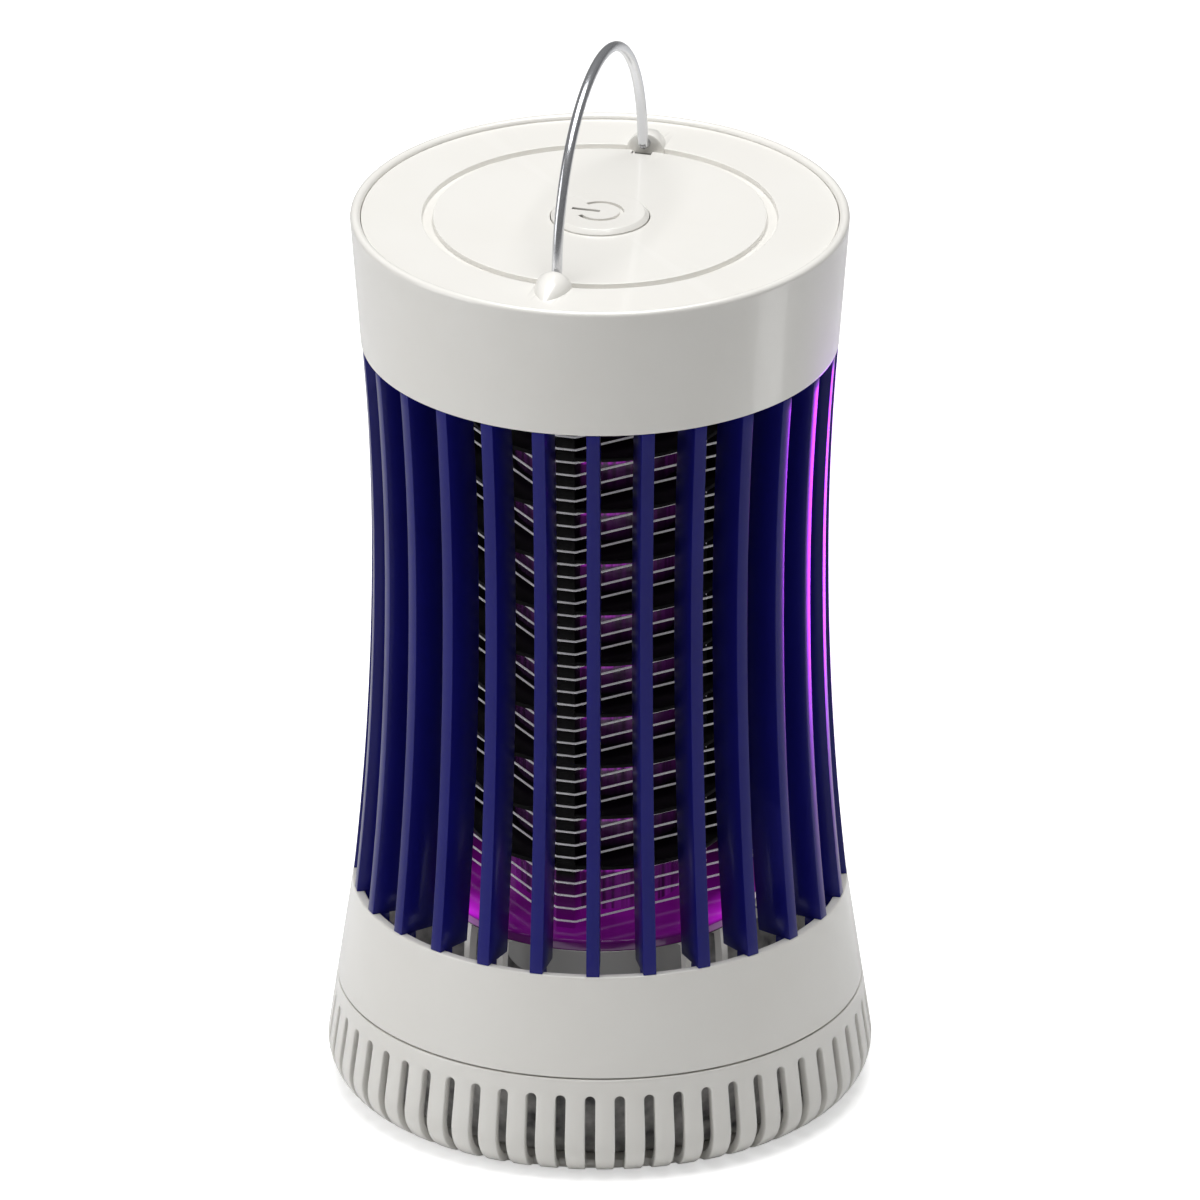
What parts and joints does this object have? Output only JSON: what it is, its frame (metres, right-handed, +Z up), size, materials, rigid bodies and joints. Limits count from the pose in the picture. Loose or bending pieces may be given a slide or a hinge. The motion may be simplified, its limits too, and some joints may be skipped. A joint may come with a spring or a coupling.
{
  "type": "electric bug zapper",
  "caption": "Round electric bug zapper: a waisted cage of upright fins around a wire killing grid, on a slotted lift-off tray, with a bail handle.",
  "frame": {"origin": "on the vertical axis at the underside of the tray", "axes": "+Z up along the axis, Y along the bail's hinge line, charging socket on +Y"},
  "size_m": [0.1188, 0.1188, 0.2424],
  "materials": {
    "white_plastic": "moulded, satin gloss, warm white",
    "grey_plastic": "light grey, matt",
    "cup_plastic": "dark grey, matt",
    "fin_plastic": "deep indigo, satin",
    "grid_plastic": "black, fine texture",
    "grid_wire": "bright drawn wire",
    "glow_plastic": "violet, polished, translucent",
    "tube_plastic": "smoky violet diffuser",
    "aluminium": "extruded, satin",
    "circuit_board": "green solder mask",
    "led_lens": "clear violet resin",
    "screw_steel": "zinc plated",
    "ferrite": "grey core with yellow tape",
    "film_capacitor": "red dipped",
    "cell_sleeve": "blue heat-shrink sleeve",
    "lead_sleeve": "red silicone",
    "switch_plastic": "black",
    "socket_steel": "nickel plated",
    "bail_wire": "polished wire"
  },
  "bodies": {
    "tray": {"tray_shell": "white_plastic", "tray_cup": "cup_plastic"},
    "upper_unit": {"base_shell": "white_plastic", "disk_carrier": "white_plastic", "disk_pedestal": "grey_plastic", "glow_disk": "glow_plastic", "lower_fin_ring": "fin_plastic", "upper_fin_ring": "fin_plastic", "fin_01": "fin_plastic", "fin_02": "fin_plastic", "fin_03": "fin_plastic", "fin_04": "fin_plastic", "fin_05": "fin_plastic", "fin_06": "fin_plastic", "fin_07": "fin_plastic", "fin_08": "fin_plastic", "fin_09": "fin_plastic", "fin_10": "fin_plastic", "fin_11": "fin_plastic", "fin_12": "fin_plastic", "fin_13": "fin_plastic", "fin_14": "fin_plastic", "fin_15": "fin_plastic", "fin_16": "fin_plastic", "fin_17": "fin_plastic", "fin_18": "fin_plastic", "fin_19": "fin_plastic", "fin_20": "fin_plastic", "fin_21": "fin_plastic", "fin_22": "fin_plastic", "fin_23": "fin_plastic", "fin_24": "fin_plastic", "fin_25": "fin_plastic", "fin_26": "fin_plastic", "fin_27": "fin_plastic", "grid_posts": "grid_plastic", "spacer_discs": "grid_plastic", "live_grid": "grid_wire", "ground_grid": "grid_wire", "grid_top_plate": "grid_plastic", "lamp_tube": "tube_plastic", "led_column": "aluminium", "led_strips": "circuit_board", "uv_leds": "led_lens", "cap_floor": "white_plastic", "cap_shell": "white_plastic", "top_plate": "white_plastic", "driver_board": "circuit_board", "transformer": "ferrite", "hv_capacitor": "film_capacitor", "battery_cell": "cell_sleeve", "grid_leads": "lead_sleeve", "switch_board": "circuit_board", "tact_switch": "switch_plastic", "charge_socket": "socket_steel", "cap_screws": "screw_steel", "base_screws": "screw_steel"},
    "button": {"power_button": "white_plastic", "switch_plunger": "switch_plastic"},
    "bail": {"bail_handle": "bail_wire"}
  },
  "joints": [
    {"name": "tray_lift", "type": "slide", "parent": "tray", "child": "upper_unit", "axis": [0, 0, 1], "range_m": [0, 0.03]},
    {"name": "button_press", "type": "slide", "parent": "upper_unit", "child": "button", "axis": [0, 0, -1], "range_m": [0, 0.0006], "stiffness_N_per_m": 3000},
    {"name": "bail_swing", "type": "hinge", "parent": "upper_unit", "child": "bail", "pos_m": [0, 0, 0.20525], "axis": [0, 1, 0], "range_deg": [-84, 84]}
  ]
}
